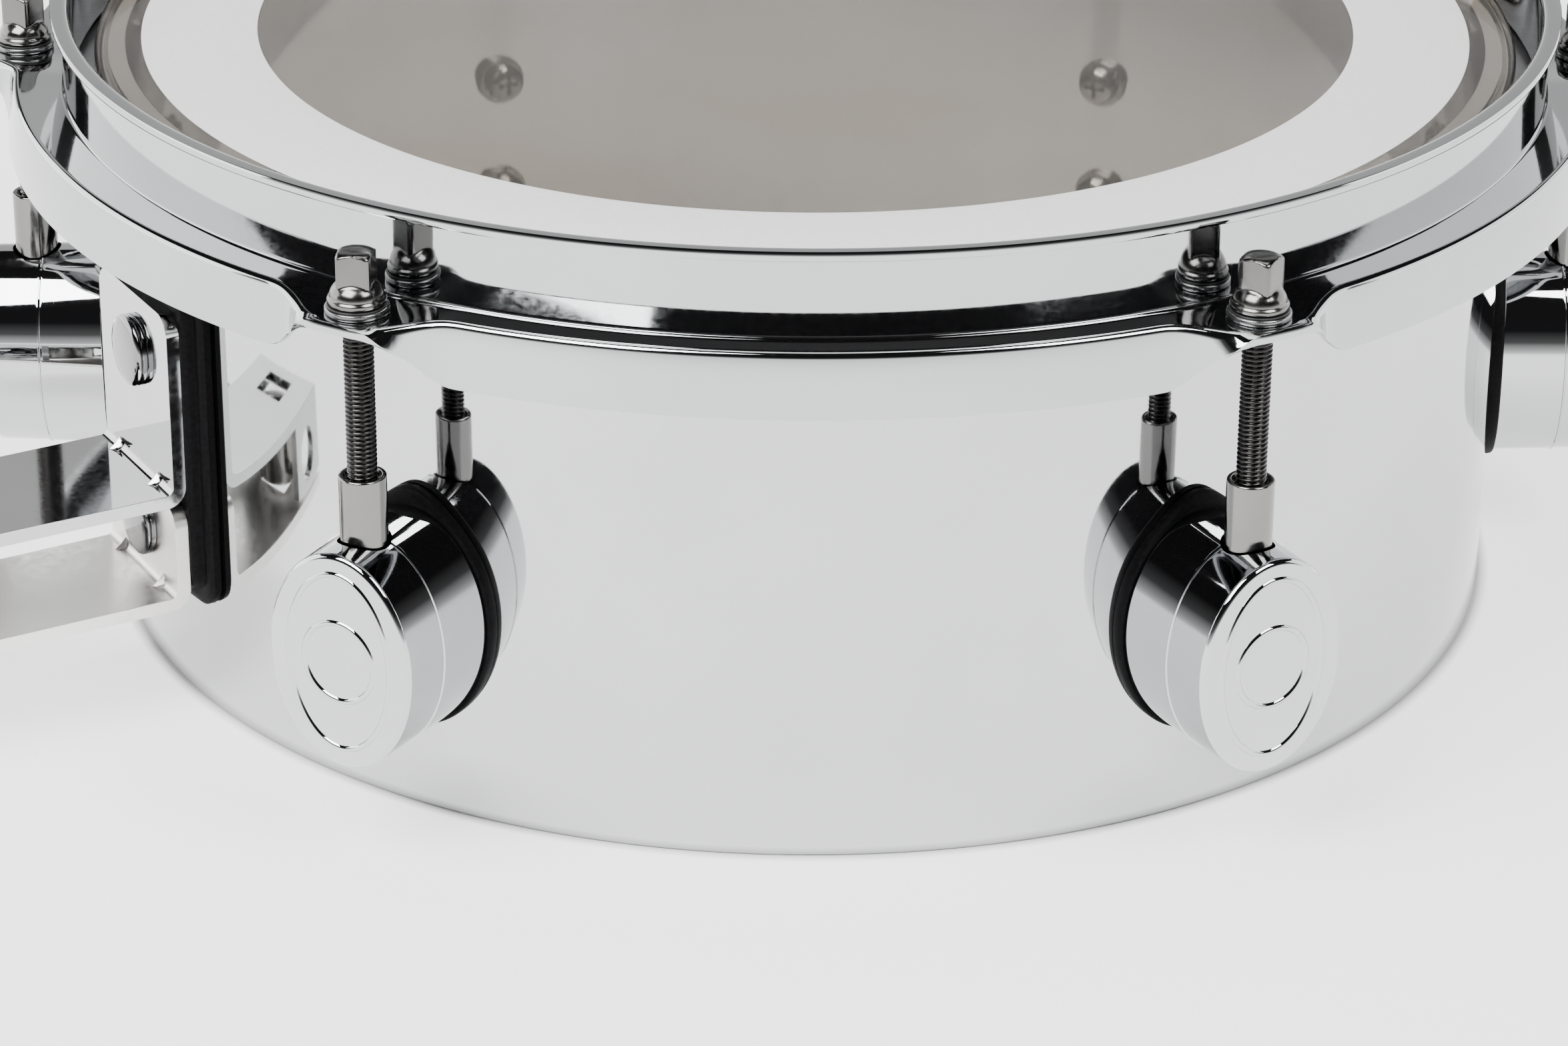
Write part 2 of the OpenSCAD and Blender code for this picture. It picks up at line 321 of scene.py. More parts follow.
def bump(tree, source, strength, distance):
    """A normal that follows a value as relief of a depth in metres."""
    node = tree.nodes.new("ShaderNodeBump")
    node.inputs["Strength"].default_value = strength
    node.inputs["Distance"].default_value = distance
    tree.links.new(source, node.inputs["Height"])
    return node.outputs["Normal"]


def metal(name, dark, light, rough, wave, wave_scale):
    """Plated or turned metal: tint and polish vary softly, with a slight waviness of the surface."""
    material, tree, shader = principled(name)
    shader.inputs["Metallic"].default_value = 1.0
    broad = noise(tree, 35.0, 4.0)
    fine = noise(tree, 900.0)
    tree.links.new(ramp(tree, broad, [(0.3, dark), (0.7, light)]), shader.inputs["Base Color"])
    tree.links.new(rough_range(tree, fine, *rough), shader.inputs["Roughness"])
    tree.links.new(bump(tree, noise(tree, wave_scale, 1.0), wave, 0.001), shader.inputs["Normal"])
    return material


def rubber_material():
    """Black moulded rubber: very dark, satin, with hardly any shine from the front."""
    material, tree, shader = principled("black_rubber")
    fine = noise(tree, 1400.0, 4.0)
    tree.links.new(ramp(tree, fine, [(0.3, (0.002, 0.002, 0.002)), (0.7, (0.005, 0.005, 0.006))]),
                   shader.inputs["Base Color"])
    tree.links.new(rough_range(tree, noise(tree, 120.0), 0.42, 0.54), shader.inputs["Roughness"])
    tree.links.new(bump(tree, fine, 0.06, 0.0001), shader.inputs["Normal"])
    shader.inputs["Specular IOR Level"].default_value = 0.04
    return material


def plastic(name, dark, light, rough, scale, strength):
    """Plastic or paint with a fine grain."""
    material, tree, shader = principled(name)
    fine = noise(tree, scale, 4.0)
    tree.links.new(ramp(tree, fine, [(0.3, dark), (0.7, light)]), shader.inputs["Base Color"])
    tree.links.new(rough_range(tree, noise(tree, scale / 8), *rough), shader.inputs["Roughness"])
    tree.links.new(bump(tree, fine, strength, 0.0001), shader.inputs["Normal"])
    return material


def film_material():
    """Hazy polyester film that lets most of the light through and blurs what is under it."""
    material, tree, shader = principled("hazy_film")
    broad = noise(tree, 9.0, 5.0)
    tree.links.new(ramp(tree, broad, [(0.3, (0.80, 0.735, 0.655)), (0.7, (0.91, 0.89, 0.87))]),
                   shader.inputs["Base Color"])
    tree.links.new(rough_range(tree, noise(tree, 300.0), 0.028, 0.042), shader.inputs["Roughness"])
    tree.links.new(bump(tree, noise(tree, 2600.0, 3.0), 0.02, 0.0001), shader.inputs["Normal"])
    shader.inputs["Transmission Weight"].default_value = 0.975
    shader.inputs["IOR"].default_value = 1.1
    return material


def make_materials():
    """Each metal has its darker and lighter tint, range of roughness, and strength and scale of waviness."""
    return {
        "shell": metal("shell_chrome", (0.485, 0.490, 0.497), (0.515, 0.520, 0.527), (0.03, 0.06), 0.03, 9.0),
        "hoop": metal("hoop_chrome", (0.415, 0.424, 0.430), (0.450, 0.458, 0.464), (0.03, 0.07), 0.04, 30.0),
        "lug": metal("lug_chrome", (0.475, 0.482, 0.490), (0.510, 0.516, 0.522), (0.02, 0.04), 0.04, 45.0),
        "bracket": metal("bracket_chrome", (0.465, 0.468, 0.470), (0.505, 0.508, 0.510), (0.04, 0.09),
                         0.05, 40.0),
        # Same chrome as the upper plate: the lower plate's much lighter tint is painted light from the left
        # key, and its higher roughness gives it a satin look.
        "plate": metal("lower_plate_satin_painted_light", (0.72, 0.70, 0.67), (0.82, 0.80, 0.78), (0.28, 0.40), 0.04, 60.0),
        "bolt": metal("bolt_chrome", (0.15, 0.15, 0.155), (0.24, 0.24, 0.245), (0.05, 0.10), 0.03, 60.0),
        "rod": metal("rod_steel", (0.100, 0.098, 0.094), (0.150, 0.147, 0.142), (0.14, 0.24), 0.03, 200.0),
        # Darker tint of the threaded part: painted shade of the thread grooves, on top of the modelled grooves.
        "thread": metal("thread_steel_painted_groove_shade", (0.034, 0.033, 0.032), (0.054, 0.052, 0.050), (0.16, 0.26),
                        0.03, 200.0),
        "tube": metal("tube_nickel", (0.155, 0.152, 0.147), (0.210, 0.207, 0.201), (0.10, 0.18), 0.03, 120.0),
        "nickel": metal("nickel_hardware", (0.20, 0.195, 0.185), (0.27, 0.265, 0.255), (0.14, 0.24),
                        0.04, 160.0),
        "screw": metal("screw_nickel", (0.16, 0.155, 0.15), (0.24, 0.235, 0.23), (0.08, 0.14), 0.04, 160.0),
        "washer": metal("washer_steel", (0.16, 0.16, 0.16), (0.24, 0.24, 0.24), (0.18, 0.30), 0.05, 300.0),
        "alloy": metal("flesh_alloy", (0.34, 0.345, 0.355), (0.40, 0.405, 0.415), (0.28, 0.42), 0.06, 90.0),
        "rubber": rubber_material(),
        "nylon": plastic("black_nylon", (0.008, 0.008, 0.008), (0.02, 0.02, 0.02), (0.35, 0.5), 900.0, 0.1),
        "white": plastic("white_coating", (0.67, 0.67, 0.665), (0.72, 0.72, 0.715), (0.38, 0.48),
                         1500.0, 0.15),
        "film": film_material(),
    }


# ---------------------------------------------------------------- shell, head and hoop

def make_shell(mats):
    """The wall with its top edge turned inwards, and the holes for the screws and the bracket's bolts."""
    inner, under = SHELL_R - SHELL_T, SHELL_H - SHELL_T
    outline = fillet(
        [(SHELL_R, 0), (SHELL_R, SHELL_H), (EDGE_R, SHELL_H), (EDGE_R, under), (inner, under), (inner, 0)],
        [0.35, 2.4, 0.3, 0.3, 1.0, 0.35], 6)
    shell = lathe("shell_wall", outline, mats["shell"], segments=360)
    holes = [cylinder("hole", SCREW_HOLE_R, -12, 6, outward(t, SHELL_R, LUG_Z + dz), 32)
             for t in LUG_TURNS for dz in (-SCREW_REACH, SCREW_REACH)]
    holes += [cylinder("hole", BOLT_HOLE_R, -12, 6, outward(BRACKET_TURN, SHELL_R, z), 32) for z in BOLT_Z]
    cut(shell, holes)
    finish_piece(shell, SHELL_BODY, "shell_chrome", "shell")


def make_head(mats):
    """The film with its collar, the white ring printed on it and the ring that holds its edge."""
    out = FILM_IN + FILM_T
    film_low, film_top = 88.0, FILM_Z + FILM_T
    ring_top = film_top + 0.15
    flesh_low, flesh_top = 86.6, 93.2
    film = [(0.01, FILM_Z), (FILM_IN - 1.6, FILM_Z), (FILM_IN - 0.5, FILM_Z - 0.45), (FILM_IN, FILM_Z - 1.5),
            (FILM_IN, film_low), (out, film_low), (out, FILM_Z - 1.4), (out - 0.45, FILM_Z - 0.2),
            (FILM_IN - 1.5, film_top), (0.01, film_top)]
    head = lathe("drumhead_film", film, mats["film"], segments=240, crease=60)
    finish_piece(head, HOOP_BODY, "film", "head_film")
    ring_line = fillet([(RING_IN, film_top), (RING_OUT, film_top), (RING_OUT, ring_top), (RING_IN, ring_top)],
                       [0, 0, 0.1, 0.1], 3)
    ring = lathe("drumhead_white_ring", ring_line, mats["white"], segments=240)
    finish_piece(ring, HOOP_BODY, "ring_coating", "head_ring")
    flesh_line = fillet([(out, flesh_low), (FLESH_OUT, flesh_low), (FLESH_OUT, flesh_top), (out, flesh_top)],
                        [1.0, 1.4, 1.4, 0.6], 5)
    flesh = lathe("flesh_ring", flesh_line, mats["alloy"], segments=240)
    finish_piece(flesh, HOOP_BODY, "flesh_alloy", "flesh_hoop")


def smooth_step(x):
    """0 to 1, level at both ends."""
    x = min(1.0, max(0.0, x))
    return x * x * x * (x * (6 * x - 15) + 10)


def ear_amount(turn, flat, ramp):
    """1 on the flat of an ear, falling to 0 over a ramp on either side (both in mm along the rim)."""
    away = min(abs((turn - t + 180) % 360 - 180) for t in LUG_TURNS)
    along = math.radians(away) * ROD_R
    return 1 - smooth_step((along - flat) / ramp)


def edge_round(end, ahead, half):
    """Points round the cut edge of a sheet, from one face to the other."""
    side = Vector((-ahead.y, ahead.x))
    points = []
    for k in range(1, 6):
        a = math.radians(90 - 30 * k)
        points.append(end + ahead * 0.5 * math.sqrt(math.cos(a)) + side * half * math.sin(a))
    return points


def hoop_section(turn):
    """Closed outline of the hoop's sheet: near an ear its shelf widens and its skirt ends."""
    widen = ear_amount(turn, 2.0, 17.0)
    lift = ear_amount(turn, 4.2, 14.5)
    curl = ear_amount(turn, 3.4, 8.6)
    half = HOOP_T / 2
    wall_r = HOOP_IN + half
    shelf = SHELF_Z - half
    knee_z = shelf + 1.5 * (1 - widen)
    swing = math.radians((82 + 8 * widen) * (1 - curl))
    knee_r = SKIRT_R - half - 1.3 + 5.3 * widen
    drop = (knee_z - SKIRT_Z - 0.5) * (1 - lift) + 1.7 * lift
    tip = (knee_r + drop * math.cos(swing), knee_z - drop * math.sin(swing))
    lip = HOOP_TOP - half
    line = [(HOOP_IN + 2.9, lip), (wall_r, lip), (wall_r, shelf), (knee_r, knee_z), tip]
    bend = [0, 0.85, 1.5, 0.35 + 1.15 * widen, 0]
    path = []
    for i, p in enumerate(line):
        p = Vector(p)
        if not bend[i]:
            path.append(p)
            continue
        a = Vector(line[i - 1]) - p
        b = Vector(line[i + 1]) - p
        half_angle = min(a.angle(b) / 2, math.radians(89.9))
        reach = min(bend[i] / math.tan(half_angle), 0.48 * a.length, 0.48 * b.length)
        start, end = p + a.normalized() * reach, p + b.normalized() * reach
        for k in range(9):
            s = k / 8
            path.append(start * (1 - s) ** 2 + p * 2 * s * (1 - s) + end * s ** 2)
    left, right = [], []
    for i, p in enumerate(path):
        ahead = path[min(i + 1, len(path) - 1)] - path[max(i - 1, 0)]
        side = Vector((-ahead.y, ahead.x)).normalized() * half
        left.append(p + side)
        right.append(p - side)
    tail = edge_round(path[-1], (path[-1] - path[-2]).normalized(), half)
    head = edge_round(path[0], (path[0] - path[1]).normalized(), half)
    return [tuple(p) for p in left + tail + right[::-1] + head]


def make_hoop(mats):
    """The hoop's sheet swept round the drum, with a hole for each rod."""
    segments = 1080
    loops = []
    for k in range(segments):
        turn = 360 * k / segments
        a = math.radians(turn)
        loops.append([(r * math.sin(a), -r * math.cos(a), z) for r, z in hoop_section(turn)])
    hoop = new_object("pressed_hoop", *loft(loops, closed=True), mats["hoop"], crease=50)
    cut(hoop, [cylinder("hole", ROD_HOLE_R, -4, 4, upright(t, ROD_R, SHELF_Z), 32) for t in LUG_TURNS])
    finish_piece(hoop, HOOP_BODY, "hoop_chrome", "hoop")


# ---------------------------------------------------------------- lugs, tubes and rods

def oval(a, b, n=128):
    """Points of an ellipse with half axes a and b."""
    return [(a * math.cos(2 * math.pi * k / n), b * math.sin(2 * math.pi * k / n)) for k in range(n)]


def on_shell(x, radius):
    """Distance from the drum's axis plane to a cylinder of that radius, at x along the rim."""
    return math.sqrt(radius * radius - x * x)


def make_lug_mesh(mats):
    """An oval cup: contoured foot, fine seam line, bevelled face with two raised oval rings."""
    foot = SHELL_R + GASKET_T
    flat = LUG_FACE - 0.35
    edge_z = LUG_FACE - 1.3
    edge_r = 1.05
    ring_half = 0.5
    loops = []

    def loop(grow, y=None, scale=1.0, radius=None):
        ring = oval((LUG_W + grow) * scale, (LUG_H + grow) * scale)
        loops.append([(x, h, on_shell(x, radius) if radius else y) for x, h in ring])

    for scale in (0.25, 0.6, 0.9):
        loop(0.35, scale=scale, radius=foot)
    loop(0.35, radius=foot)
    loop(0.5, radius=foot + 0.3)
    seam = 140.2
    loop(0.32, seam - 0.55)
    loop(0.30, seam - 0.22)
    loop(0.46, seam - 0.1)
    loop(0.46, seam + 0.1)
    loop(0.24, seam + 0.22)
    loop(0.22, seam + 0.6)
    loop(0.0, edge_z)
    for k in range(1, 6):
        a = math.radians(18 * k)
        loop(-edge_r * (1 - math.cos(a)), edge_z + edge_r * math.sin(a))
    loop(-1.3, flat)
    for a, b in ((9.8, 15.5), (6.7, 6.9)):
        for share, rise in ((1, 0.0), (0.7, 0.22), (0.3, 0.33), (0, 0.35), (-0.3, 0.33), (-0.7, 0.22),
                            (-1, 0.0)):
            ring = oval(a + ring_half * share, b + ring_half * share)
            loops.append([(x, h, flat + rise) for x, h in ring])
    loops.append([(x, h, flat) for x, h in oval(3, 3)])
    lug = new_object("lug_master", *loft(loops), mats["lug"], outward(0, 0, LUG_Z), 28)
    hole = cylinder("hole", TUBE_R + 0.55, LUG_Z + 4, 80, upright(0, ROD_R, 0), 64)
    cut(lug, [hole])
    settle_normals(lug)
    return lug


def gasket_rim(angle):
    """How far the gasket stands beyond the lug: a low rim with a peak at the top and one at the bottom."""
    up = math.sin(angle)
    return 0.85 + 2.3 * max(0.0, up) ** 14 + 0.3 * max(0.0, -up) ** 14


def make_gasket_mesh(mats):
    """A rubber pad that follows the shell and stands out a little round the lug."""
    n = 128
    angles = [2 * math.pi * k / n for k in range(n)]
    loops = []

    def loop(share, lift, scale=1.0):
        row = []
        for a in angles:
            grow = gasket_rim(a) * share
            x = (LUG_W + 0.4 + grow) * math.cos(a) * scale
            h = (LUG_H + 0.4 + grow) * math.sin(a) * scale
            row.append((x, h, on_shell(x, SHELL_R + 0.05) + lift))
        loops.append(row)

    for scale in (0.3, 0.7):
        loop(0, 0.0, scale)
    loop(0.9, 0.0)
    loop(1.0, 0.25)
    loop(1.0, GASKET_T - 0.7)
    loop(0.88, GASKET_T - 0.2)
    loop(0.7, GASKET_T)
    loop(0.25, GASKET_T)
    loop(0.12, GASKET_T - 0.1)
    for scale in (0.9, 0.6, 0.3):
        loop(0, GASKET_T - 0.1, scale)
    return new_object("gasket_master", *loft(loops), mats["rubber"], outward(0, 0, LUG_Z), 50)


def make_tube_mesh(mats):
    """A tube nut: a tube with a countersunk mouth, and the foot that holds it in the lug."""
    bore, tube_low = 2.6, 44.2
    foot_r, foot_low, foot_high = 5.3, 40.05, 44
    outline = fillet(
        [(bore, tube_low), (TUBE_R, tube_low), (TUBE_R, TUBE_TOP), (3.15, TUBE_TOP), (2.95, TUBE_TOP - 0.7),
         (2.62, TUBE_TOP - 1.2)],
        [0, 0.3, 0.35, 0.2, 0, 0], 4)
    tube = lathe("tube_master", outline, mats["tube"], segments=64)
    foot_line = fillet([(bore, foot_low), (foot_r, foot_low), (foot_r, foot_high), (bore, foot_high)],
                       [0, 0.4, 0.4, 0], 3)
    foot = lathe("foot", foot_line, mats["tube"], segments=64)
    cut(tube, [foot], "UNION")
    return tube


def square_reach(angle, half, corner):
    """Distance from the middle of a square to its side, along an angle: a larger corner value is sharper."""
    c, s = abs(math.cos(angle)), abs(math.sin(angle))
    return half / (c ** corner + s ** corner) ** (1 / corner)


def make_rod_mesh(mats):
    """A tension rod: square key head with a domed top, round collar, plain neck and a helical thread."""
    n = 48
    step = 2 * math.pi / n
    thread_r, neck_r, dome_r = 2.47, 2.4, 4.37
    thread_low, thread_end = 58.0, THREAD_TOP - 0.1
    loops = []

    def loop(z, radius):
        loops.append([(radius(k * step) * math.cos(k * step), radius(k * step) * math.sin(k * step), z)
                      for k in range(n)])

    def thread(z):
        def radius(angle):
            phase = (z / THREAD_PITCH - angle / (2 * math.pi)) % 1.0
            blend = min(1.0, (z - thread_low) / 0.8, thread_end - z)
            depth = 0.42 * max(0.0, 1 - abs(phase - 0.5) / 0.38) * max(0.0, blend)
            return thread_r - depth
        return radius

    def square(angle):
        return square_reach(angle, KEY_HALF, 14)

    loop(ROD_LOW, lambda a: 1.9)
    loop(ROD_LOW + 0.55, lambda a: 2.45)
    z = thread_low
    while z < thread_end:
        loop(z, thread(z))
        z += THREAD_PITCH / 8
    loop(THREAD_TOP, lambda a: neck_r)
    loop(COLLAR_Z, lambda a: neck_r)
    for r, z in ((4.42, 0.0), (4.67, 0.12), (4.75, 0.35), (4.75, 0.75), (4.64, 1.0), (dome_r, 1.12)):
        loop(COLLAR_Z + z, lambda a, r=r: r)
    for k in range(1, 15):
        t = k / 14
        z = COLLAR_Z + 1.12 + t * 3.0
        dome = dome_r * math.sqrt(max(0.0, 1 - (t * 0.93) ** 2))
        loop(z, lambda a, d=dome: max(d, square(a)))
    loop(KEY_TOP - 1.5, square)
    for k in range(0, 9):
        t = k / 8
        z = KEY_TOP - 1.35 + 1.35 * math.sin(t * math.pi / 2)
        crown = 1.1 + 2.8 * math.cos(t * math.pi / 2) ** 0.8
        loop(z, lambda a, c=crown: min(c, square(a)))
    rod = new_object("rod_master", *loft(loops), mats["rod"], None, 70)
    # The threaded faces take the darker tint, which is painted shade of the grooves.
    rod.data.materials.append(mats["thread"])
    for face in rod.data.polygons:
        if face.center.z < THREAD_TOP * MM:
            face.material_index = 1
    settle_normals(rod)
    return rod


def make_ring_mesh(name, outer, inner, low, high, material, round_):
    """A flat ring or washer with rounded edges."""
    return lathe(name, fillet([(inner, low), (outer, low), (outer, high), (inner, high)], [round_] * 4, 3),
                 material, segments=72)


def spread(master, pattern, body, slot, node, frames):
    """Copies a master piece to each place, named by its number, and removes the master."""
    base = master.matrix_world.copy()
    for i, place in enumerate(frames, 1):
        piece = bpy.data.objects.new(pattern.format(i), master.data)
        bpy.context.scene.collection.objects.link(piece)
        piece.matrix_world = place @ base
        finish_piece(piece, body.format(i), slot, *([node.format(i)] if node else []))
    bpy.data.objects.remove(master)


def turn_frames():
    """Rotations about the drum's axis that carry the front to each lug."""
    return [Matrix.Rotation(math.radians(t), 4, "Z") for t in LUG_TURNS]


def make_lugs(mats):
    """The lugs, their pads and tubes, and the rods, each rod's key head turned its own way."""
    turns = turn_frames()
    spread(make_lug_mesh(mats), "lug_casing_{}", SHELL_BODY, "lug_chrome", "lug_{}", turns)
    spread(make_gasket_mesh(mats), "lug_pad_{}", SHELL_BODY, "rubber", "lug_gasket_{}", turns)
    posts = [t @ upright(0, ROD_R, 0) for t in turns]
    spread(make_tube_mesh(mats), "swivel_tube_{}", SHELL_BODY, "tube_nut_nickel", "tube_nut_{}", posts)
    twist = [p @ Matrix.Rotation(math.radians(a), 4, "Z") for p, a in zip(posts, (22, 26, 20, -12, 38, -28))]
    spread(make_rod_mesh(mats), "key_rod_{}", "tension_rod_{}_body", "rod_steel", "tension_rod_{}", twist)


def joined(name, master, frames, body, slot, node):
    """One object with a copy of the master at each place."""
    bm = bmesh.new()
    base = master.matrix_world.copy()
    for place in frames:
        copy = master.data.copy()
        copy.transform(place @ base)
        bm.from_mesh(copy)
        bpy.data.meshes.remove(copy)
    mesh = bpy.data.meshes.new(name)
    bm.to_mesh(mesh)
    bm.free()
    material = master.data.materials[0]
    bpy.data.objects.remove(master)
    return finish_piece(placed(name, mesh, material), body, slot, node)


def make_washers(mats):
    """A steel washer on the hoop's shelf and a thin nylon one on it, under each rod's collar."""
    posts = [t @ upright(0, ROD_R, 0) for t in turn_frames()]
    bore, steel_r, nylon_r = 2.85, 5.2, 4.85
    steel_top, nylon_top = SHELF_Z + 1.2, SHELF_Z + 1.5
    joined("rod_washer_set",
           make_ring_mesh("w", steel_r, bore, SHELF_Z + 0.01, steel_top, mats["washer"], 0.35),
           posts, HOOP_BODY, "washer_steel", "rod_steel_washers")
    joined("rod_thin_washer_set",
           make_ring_mesh("w", nylon_r, bore, steel_top + 0.01, nylon_top, mats["nylon"], 0.1),
           posts, HOOP_BODY, "nylon", "rod_nylon_washers")


def pan_screw(name, head_r, head_h, shank_r, shank_l, material):
    """A pan-head screw with a cross recess: its head lies on z = 0 to -head_h and its shank points up."""
    profile = [(0.05, -head_h)]
    for k in range(1, 8):
        a = math.radians(90 * k / 7)
        profile.append((head_r * (0.25 + 0.75 * math.sin(a)), -head_h + 0.95 * (1 - math.cos(a))))
    profile += [(head_r, -0.2), (head_r - 0.2, 0), (shank_r, 0), (shank_r, shank_l - 0.6),
                (shank_r - 0.5, shank_l)]
    screw = turned(name, profile, material, None, 48)
    slot_l, slot_w, slot_deep = 2.3, 0.45, 1.3
    bars = [box_cutter(-slot_l, slot_l, -slot_w, slot_w, -head_h - 0.5, -head_h + slot_deep,
                       Matrix.Rotation(math.radians(a), 4, "Z")) for a in (0, 90)]
    cut(screw, bars)
    return screw


def make_lug_fixings(mats):
    """Two screws and washers for each lug, inside the shell."""
    places = [outward(t, SCREW_SEAT_R, LUG_Z + dz) for t in LUG_TURNS for dz in (-SCREW_REACH, SCREW_REACH)]
    joined("lug_screw_set", pan_screw("screw", 3.8, 3.1, 2.0, 9.6, mats["screw"]), places,
           SHELL_BODY, "nickel_hardware", "lug_screws")
    joined("lug_washer_set", make_ring_mesh("w", 5.0, 2.15, 0.02, 0.98, mats["washer"], 0.2), places,
           SHELL_BODY, "washer_steel", "lug_screw_washers")


# ---------------------------------------------------------------- bracket

def corner_cutter(side, y0, y1, top, r):
    """What a rounded upper corner of a leg leaves out, as a prism through the sheet."""
    edge = side * (PLATE_W + 1)
    near = side * (PLATE_W - r)
    arc = [(near + side * r * math.sin(math.radians(a)), top - r + r * math.cos(math.radians(a)))
           for a in range(0, 91, 10)]
    outline = [(near, top + 1)] + arc + [(edge, top - r), (edge, top + 1)]
    tip = Matrix.Rotation(math.radians(90), 4, "X")
    return prism("corner", outline, -y1, -y0, None, upright(BRACKET_TURN) @ tip)


def bent_plate(name, plate_z, leg_top, bolt_z, material):
    """A leg and a plate bent from one strip, with holes and rounded ends; the gussets in the bend are joined on
    later.
    """
    inner = LEG_FACE - SHEET_T
    low = plate_z - SHEET_T
    outline = fillet([(inner, leg_top), (inner, low), (PLATE_END, low), (PLATE_END, plate_z),
                      (LEG_FACE, plate_z), (LEG_FACE, leg_top)], [0, 3.6, 0, 0, 1.3, 0], 8)
    side_view = upright(BRACKET_TURN) @ Matrix(((0, 0, 1, 0), (1, 0, 0, 0), (0, 1, 0, 0), (0, 0, 0, 1)))
    plate = prism(name, outline, -PLATE_W, PLATE_W, material, side_view)
    here = upright(BRACKET_TURN)
    hole = 5.7
    cutters = [box_cutter(-hole, hole, CLAMP_R - hole, CLAMP_R + hole, low - 2, plate_z + 2, here),
               cylinder("hole", 3.15, -6, 4, outward(BRACKET_TURN, LEG_FACE, bolt_z), 48),
               corner_cutter(-1, inner - 2, LEG_FACE + 2, leg_top, 3.6),
               corner_cutter(1, inner - 2, LEG_FACE + 2, leg_top, 3.6)]
    cut(plate, cutters)
    return plate


def gussets(plate_z):
    """Small kite-shaped ribs pressed into the inside of a bend."""
    pieces = []
    for x in (-8.4, 8.4):
        y, z = LEG_FACE, plate_z
        verts = [(x, y - 0.3, z + 2.5), (x, y + 2.6, z - 0.3), (x - 1.1, y + 0.5, z + 0.5),
                 (x + 1.1, y + 0.5, z + 0.5), (x, y + 1.0, z + 1.0), (x, y - 0.9, z - 0.9)]
        faces = [(0, 2, 4), (0, 4, 3), (1, 4, 2), (1, 3, 4), (0, 5, 2), (0, 3, 5), (1, 2, 5), (1, 5, 3)]
        pieces.append(new_object("rib", verts, faces, None, upright(BRACKET_TURN)))
    return pieces


def make_bracket(mats):
    """The upper plate with the clamp's two cheeks, and the lower plate."""
    here = upright(BRACKET_TURN)
    upper = bent_plate("bracket_upper_plate", UPPER_Z, 74.5, BOLT_Z[1], mats["bracket"])
    cheeks = []
    for side, hole_r in ((1, 3.3), (-1, 5.5)):
        x0, x1 = sorted((side * PLATE_W, side * (PLATE_W - SHEET_T)))
        cheek = box_cutter(x0, x1, PLATE_END - 20, PLATE_END, 24.2, UPPER_Z - 1, here)
        drill = cylinder("hole", hole_r, -4, 4,
                         here @ Matrix.Translation((side * PLATE_W * MM, CLAMP_R * MM, CLAMP_Z * MM))
                         @ Matrix.Rotation(math.radians(90), 4, "Y"), 48)
        cut(cheek, [drill])
        cheeks.append(cheek)
    cut(upper, cheeks + gussets(UPPER_Z), "UNION")
    bevel(upper, 0.42)
    settle_normals(upper)
    finish_piece(upper, SHELL_BODY, "bracket_chrome", "bracket_upper")
    # The lower plate takes the lighter tint, which is painted light, although it is the same chrome as the
    # upper plate.
    lower = bent_plate("bracket_lower_plate", LOWER_Z, 39.0, BOLT_Z[0], mats["plate"])
    cut(lower, gussets(LOWER_Z), "UNION")
    bevel(lower, 0.42)
    settle_normals(lower)
    finish_piece(lower, SHELL_BODY, "bracket_chrome", "bracket_lower")


def panel(half_w, low, high, r, steps=8):
    """A rounded rectangle with its straight sides divided, so that it can bend round the shell."""
    points = fillet([(half_w, low), (half_w, high), (-half_w, high), (-half_w, low)], [r] * 4, steps)
    dense = []
    for i, p in enumerate(points):
        q = points[(i + 1) % len(points)]
        parts = max(1, int(math.dist(p, q) / 2.0))
        dense += [(p[0] + (q[0] - p[0]) * k / parts, p[1] + (q[1] - p[1]) * k / parts) for k in range(parts)]
    return dense


def make_bracket_pad(mats):
    """Moulded rubber pad: a wide base that follows the shell, a groove and a flat-topped block."""
    low, high = PAD_Z
    middle, half_h = (low + high) / 2, (high - low) / 2
    flat = LEG_FACE - SHEET_T - 0.02
    base = panel(PAD_HALF_W, low, high, 4.5)
    loops = []

    def loop(shrink, depth, curved):
        row = []
        for x, h in base:
            px = x * (PAD_HALF_W - shrink) / PAD_HALF_W
            ph = middle + (h - middle) * (half_h - shrink) / half_h
            row.append((px, ph, on_shell(px, SHELL_R + depth) if curved else depth))
        loops.append(row)

    for shrink in (16, 10, 5):
        loop(shrink, 0.06, True)
    loop(0.4, 0.06, True)
    loop(0.0, 0.5, True)
    loop(0.0, 1.6, True)
    loop(0.5, 2.1, True)
    loop(1.5, 2.2, True)
    loop(2.3, 2.05, True)
    loop(2.5, 2.4, True)
    loop(2.5, flat - 0.9, False)
    loop(2.9, flat - 0.25, False)
    loop(3.5, flat, False)
    for shrink in (8, 14):
        loop(shrink, flat, False)
    pad = new_object("bracket_pad", *loft(loops), mats["rubber"], outward(BRACKET_TURN), 40)
    finish_piece(pad, SHELL_BODY, "rubber", "bracket_gasket")


